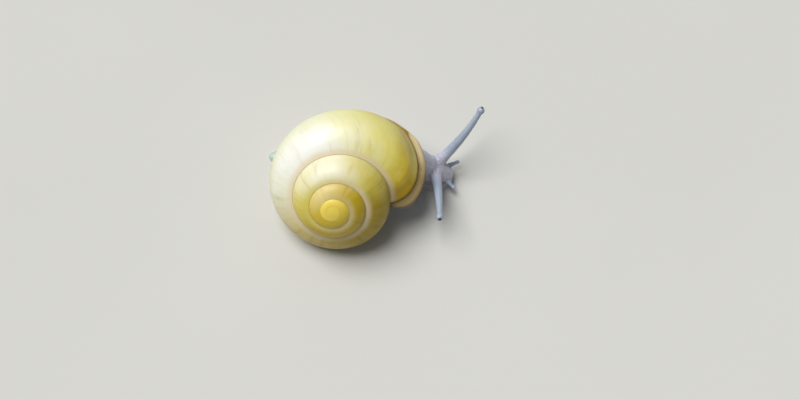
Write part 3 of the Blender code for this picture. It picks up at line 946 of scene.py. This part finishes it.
def carveBack(points, normals, body, place):
    # two grooves along the neck's back
    xMm, yMm, zMm = place
    back = ease(0.5, 0.9, normals[:, 2]) * ease(2.6, 3.0, zMm)
    back = back * ease(8.6, 9.8, xMm) * ease(13.4, 12.6, xMm) * body
    offset = yMm - np.interp(xMm, [9.5, 12.0, 13.4], [-0.05, -0.25, -0.40])
    for side in (-bodyLook["backGrooveAside"], bodyLook["backGrooveAside"]):
        groove = np.exp(-(((offset - side) / bodyLook["backGrooveWide"]) ** 2)) * back
        points -= normals * (groove * bodyLook["backGroove"])[:, None]


def carveSkin(skin):
    look = bodyLook
    points = readPoints(skin)
    normals = readNormals(skin)
    place = xMm, yMm, zMm = (points / mm).T
    feeler, tip = feelerShares(points)
    body = ease(0.75, 0.05, feeler)
    skirt = carveSole(points, normals, body)
    carveBack(points, normals, body, place)
    # tubercles in rows, longer than wide
    raised = ease(0.02, 0.42, cellRelief(points * np.array([0.62, 1.0, 1.0]), look["tubercle"] * 0.9))
    amount = body * ease(0.42, 0.75, zMm) * (0.45 + 0.55 * ease(-9.5, -6, xMm)) * ease(15.5, 14.6, xMm)
    amount *= 1 - 0.3 * ease(13.0, 14.4, xMm)
    points += normals * (amount * (raised - 0.5) * look["tubercleHeight"])[:, None]
    fineRaised = ease(0.02, 0.4, cellRelief(points, look["grain"]))
    points += normals * (feeler * (1 - tip) * (fineRaised - 0.5) * look["grainHeight"])[:, None]
    # mouth: a slit under the snout between the two lobes
    mouth = np.exp(-(((yMm - look["mouthAt"]) / look["mouthWide"]) ** 2))
    mouth = mouth * ease(1.45, 1.1, zMm) * ease(14.2, 14.6, xMm) * body
    points -= normals * (mouth * look["mouth"])[:, None]
    # the sole lies flat on the floor
    points[points[:, 2] < 0.03 * mm, 2] = 0
    writePoints(skin, points)
    shown = np.maximum(amount, 0.6 * feeler * (1 - tip))
    relief = (raised + (fineRaised - raised) * feeler) * shown + (1 - shown)
    values = {
        "relief": relief, "feeler": feeler, "skirt": skirt,
        "tail": ease(-4.0, -8.5, xMm), "back": ease(0.8, 3.0, zMm),
    }
    for name, value in values.items():
        writeValue(skin, name, value)


def skinMaterial():
    look = bodyLook
    material, shader = newMaterial("wetGreySkin")
    own = placeOn(material)
    cloud = noiseOf(material, own, 700.0, 4.0, 0.6)
    broad = noiseOf(material, own, 230.0, 2.0, 0.5)
    # each layer: how much of it shows, and its tone
    layers = (
        (painted(material, "back"), "grey"),
        (spread(material, broad, 0.42, 0.68, 0.0, 0.4), "darkGrey"),
        (painted(material, "tail"), "tailPale"),
        (times(material, painted(material, "skirt"), 0.55), "sole"),
        (spread(material, painted(material, "feeler"), -0.3, 1.0, 0.0, 0.9), "feelerBlue"),
        (spread(material, painted(material, "relief"), 0.7, 0.0, 0.0, 0.42), "darkGrey"),
        (spread(material, cloud, 0.58, 0.72, 0.0, 0.35), "darkGrey"),
    )
    tone = look["paleSide"]
    for share, name in layers:
        tone = mixColour(material, share, tone, look[name])
    grain = addNode(material, "ShaderNodeTexVoronoi", {"Vector": own, "Scale": 9500.0}, feature="F1")
    dents = times(material, grain.outputs["Distance"], -1.0)
    plug(material, shader, {
        "Base Color": tone,
        "Roughness": spread(material, cloud, 0.3, 0.7, 0.28, 0.46),
        "Normal": bumpOf(material, calc(material, "MULTIPLY_ADD", cloud, 0.8, dents), 0.30, 0.04 * mm),
        "Coat Weight": 0.35,
        "Coat Roughness": 0.12,
        "Subsurface Weight": 0.45,
        "Subsurface Radius": (1.0, 0.8, 0.8),
        "Subsurface Scale": 0.7 * mm,
    })
    return material


skin = buildSkin()
carveSkin(skin)
skin.data.materials.clear()
skin.data.materials.append(skinMaterial())
pick(skin)
bpy.ops.object.shade_smooth()
print("skin blended", len(skin.data.polygons), "faces")
skinNodes = ["body_stalk", "neck", "head", "foot_front", "foot_middle", "foot_tail"]
for side in ("left", "right"):
    skinNodes += [f"feeler_{side}_lower_length", f"feeler_{side}_upper_length", f"feeler_{side}_tip"]
    skinNodes.append(f"lower_feeler_{side}")
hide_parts(*skinNodes)
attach(skin, "root")


# eyes

eyeLook = {
    "dark": colour(22, 20, 26),
    "ring": colour(58, 56, 66),
    "flatten": 0.8,          # its depth to its width
    "sink": 0.06 * mm,       # how far it is set into the feeler's tip
}


def buildEye(side):
    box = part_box("eye_" + side)
    centre = (np.array(box[0]) + np.array(box[1])) / 2
    knob = np.array(feelerPlan[side][2]) * mm
    outwards = centre - knob
    outwards /= np.linalg.norm(outwards)
    eye = ballAt(side + "EyeBall", centre, [feelerPlan["eye"]] * 3)
    # a little flatter along its own axis, as the clear skin over it presses it
    points = readPoints(eye) - centre
    along = points @ outwards
    points -= outwards * (along * (1 - eyeLook["flatten"]))[:, None]
    writePoints(eye, points + centre - outwards * eyeLook["sink"])
    pick(eye)
    bpy.ops.object.shade_smooth()
    writeValue(eye, "rim", ease(0.10, -0.02, (points @ outwards) / mm))
    eye.data.materials.append(eyeMaterial())
    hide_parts("eye_" + side)
    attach(eye, "root")


def eyeMaterial():
    look = eyeLook
    material, shader = newMaterial("darkEye")
    cloud = spread(material, noiseOf(material, placeOn(material), 3000.0), 0.4, 0.7, 0.0, 0.4)
    tone = mixColour(material, cloud, look["dark"], look["ring"])
    tone = mixColour(material, painted(material, "rim"), tone, look["ring"])
    plug(material, shader, {
        "Base Color": tone,
        "Roughness": 0.12,
        "Coat Weight": 0.8,
        "Coat Roughness": 0.05,
    })
    return material


for side in ("left", "right"):
    buildEye(side)
print("eyes set")


# mantle's collar: the soft fold that fills the mouth round the stalk

collarLook = {
    "sides": 160,
    "rows": 34,
    "rounding": 4,           # evens out the corners of its outline
    "edgeSpan": (78, -150),  # degrees round the mouth's edge, from the seam to the navel
    "wallSpan": (-150, -17),  # and back along the wall of the whorl before
    "inset": 0.42 * mm,      # keeps it within the thickness of the lip
    "width": (1.7, 3.6),     # least and most, in mm
    # share of the way in to the neck's skin, and how far forwards in mm
    "profile": (
        (0.0, -1.05), (0.0, -0.85), (0.02, -0.60), (0.08, -0.35), (0.22, -0.12), (0.45, 0.0), (0.70, -0.08),
        (0.95, -0.28), (1.25, -0.60), (1.75, -0.85), (1.75, -1.2),
    ),
    "rippleFrom": -0.6,      # mm forwards, past which it ripples
    "grey": colour(172, 167, 173),
    "cream": colour(192, 186, 180),
}


def mouthOutline(count):
    # a closed line round the mouth, with the way the shell runs on at each point
    edge, edgeWay, _ = lipFrames(np.radians(np.linspace(*collarLook["edgeSpan"], 60)))
    around = np.radians(np.linspace(*collarLook["wallSpan"], 26))
    at = np.full_like(around, lipEnd - turn)
    wall = inWorld(at, *onWhorl(at, around))
    wallWay = inWorld(at + tinyStep, *onWhorl(at + tinyStep, around)) - wall
    wallWay /= np.linalg.norm(wallWay, axis=1)[:, None]
    loop = np.vstack([edge, wall, edge[:1]])
    way = np.vstack([edgeWay, wallWay, edgeWay[:1]])
    length = np.concatenate([[0], np.cumsum(np.linalg.norm(np.diff(loop, axis=0), axis=1))])
    even = np.linspace(0, length[-1], count + 1)[:-1]
    return [np.stack([np.interp(even, length, part[:, k]) for k in range(3)], 1) for part in (loop, way)]


def smoothLoop(values, width):
    # evens out values that run round a closed loop
    reach = np.arange(-3 * width, 3 * width + 1)
    weight = np.exp(-((reach / width) ** 2))
    return sum(np.roll(values, step) * w for step, w in zip(reach, weight)) / weight.sum()


def buildCollar():
    look = collarLook
    outline, way = mouthOutline(look["sides"])
    centre = outline.mean(0)
    # how far in from the lip the neck's skin lies, along each line to the middle
    bpy.context.view_layer.update()
    width = np.empty(look["sides"])
    for i, place in enumerate(outline):
        aim = centre - place
        length = np.linalg.norm(aim)
        hit, spot, _, _ = skin.ray_cast(Vector(place), Vector(aim / length))
        width[i] = (Vector(place) - spot).length / mm if hit else 0.5 * length / mm
    width = smoothLoop(np.clip(width, *look["width"]), 5)
    outline = np.stack([smoothLoop(outline[:, k], look["rounding"]) for k in range(3)], 1)
    way = np.stack([smoothLoop(way[:, k], 3 * look["rounding"]) for k in range(3)], 1)
    way /= np.linalg.norm(way, axis=1)[:, None]
    profile = blendCurve(look["profile"], look["rows"] + 1)
    piece, u, v = newGrid("mantleFold", look["sides"], look["rows"])
    column = np.rint(u * look["sides"]).astype(int) % look["sides"]
    row = np.rint(v * look["rows"]).astype(int)
    inwards, forwards = profile[row].T
    place = outline[column]
    aim = centre - place
    aim /= np.linalg.norm(aim, axis=1)[:, None]
    ripple = 1 + 0.12 * np.sin(u * turn * 6 + 1.0) + 0.07 * np.sin(u * turn * 13)
    still = look["rippleFrom"]
    forwards = np.where(forwards > still, (forwards - still) * ripple + still, forwards)
    inset = look["inset"] + inwards * width[column] * mm
    points = place + aim * inset[:, None] + way[column] * (forwards * mm)[:, None]
    writePoints(piece, shutEnds(points, v))
    writeMap(piece, "collarMap", u, v)
    closeUp(piece, 0.004 * mm)
    piece.data.materials.append(collarMaterial())
    return piece


def collarMaterial():
    look = collarLook
    material, shader = newMaterial("mantleSkin")
    own = placeOn(material)
    cloud = noiseOf(material, own, 900.0, 4.0, 0.6)
    tone = mixColour(material, spread(material, cloud, 0.40, 0.66, 0.0, 0.7), look["grey"], look["cream"])
    plug(material, shader, {
        "Base Color": tone,
        "Roughness": spread(material, cloud, 0.3, 0.7, 0.25, 0.4),
        "Normal": bumpOf(material, noiseOf(material, own, 5200.0, 3.0, 0.6), 0.3, 0.05 * mm),
        "Coat Weight": 0.4,
        "Coat Roughness": 0.12,
        "Subsurface Weight": 0.4,
        "Subsurface Scale": 0.6 * mm,
    })
    return material


mantleFold = buildCollar()
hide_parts("mantle_collar")
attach(mantleFold, "root")
print("mantle folded")


# camera, light and floor

cameraPose = {
    "place": (6.21, -81.24, 206.0),  # mm
    "aim": (8.37, -5.98, 5.0),
    "roll": 6.2,                     # degrees
    "lens": 75,
    "near": 5 * mm,
    "far": 10,                       # m
}
lightPlan = {
    "key": {"from": (-0.40, 0.15, 0.91), "spread": 40, "power": 3.0, "tint": (1.0, 0.985, 0.95)},
    "fill": {"from": (-0.08, 0.66, 0.75), "spread": 70, "power": 0.3, "tint": (0.94, 0.97, 1.0)},
    "sky": 0.14,
    "skyTint": (0.92, 0.96, 1.0),
    "wall": colour(216, 217, 212),
}
floorLook = {"radius": 6, "grey": colour(208, 208, 205), "pale": colour(210, 210, 207)}


def setCamera():
    place = Vector(cameraPose["place"]) * mm
    aim = Vector(cameraPose["aim"]) * mm
    bpy.ops.object.camera_add(location=place)
    camera = nameIt(bpy.context.object, "viewCamera")
    facing = (place - aim).to_track_quat("Z", "Y").to_matrix()
    camera.rotation_euler = (facing @ Matrix.Rotation(math.radians(cameraPose["roll"]), 3, "Z")).to_euler()
    camera.data.lens = cameraPose["lens"]
    camera.data.clip_start = cameraPose["near"]
    camera.data.clip_end = cameraPose["far"]
    bpy.context.scene.camera = camera


def addLamp(name, plan):
    # a broad, far-off light, so that the floor is evenly lit
    towards = Vector(plan["from"]).normalized()
    bpy.ops.object.light_add(type="SUN", location=towards)
    lamp = nameIt(bpy.context.object, name)
    lamp.rotation_euler = towards.to_track_quat("Z", "Y").to_euler()
    lamp.data.angle = math.radians(plan["spread"])
    lamp.data.energy = plan["power"]
    lamp.data.color = plan["tint"]


def layFloor():
    deselectAll()
    bpy.ops.mesh.primitive_circle_add(vertices=96, radius=floorLook["radius"], fill_type="NGON")
    floor = nameIt(bpy.context.object, "studioFloor")
    material, shader = newMaterial("paleFloor")
    cloud = spread(material, noiseOf(material, placeOn(material), 12.0), 0.4, 0.6)
    tone = mixColour(material, cloud, floorLook["grey"], floorLook["pale"])
    plug(material, shader, {"Base Color": tone, "Roughness": 0.9, "Specular IOR Level": 0.1})
    floor.data.materials.append(material)


def hangSky():
    # it lights softly, and shows behind the floor as a pale wall
    world = bpy.data.worlds.new("softSky")
    world.use_nodes = True
    nodes, links = world.node_tree.nodes, world.node_tree.links
    sky = nodes["Background"]
    sky.inputs["Color"].default_value = (*lightPlan["skyTint"], 1.0)
    sky.inputs["Strength"].default_value = lightPlan["sky"]
    wall = nodes.new("ShaderNodeBackground")
    wall.inputs["Color"].default_value = lightPlan["wall"]
    mix = nodes.new("ShaderNodeMixShader")
    links.new(nodes.new("ShaderNodeLightPath").outputs["Is Camera Ray"], mix.inputs[0])
    links.new(sky.outputs[0], mix.inputs[1])
    links.new(wall.outputs[0], mix.inputs[2])
    links.new(mix.outputs[0], nodes["World Output"].inputs[0])
    bpy.context.scene.world = world
    bpy.context.scene.view_settings.view_transform = "Standard"


setCamera()
addLamp("keyLight", lightPlan["key"])
addLamp("fillLight", lightPlan["fill"])
layFloor()
hangSky()
print("stage set")
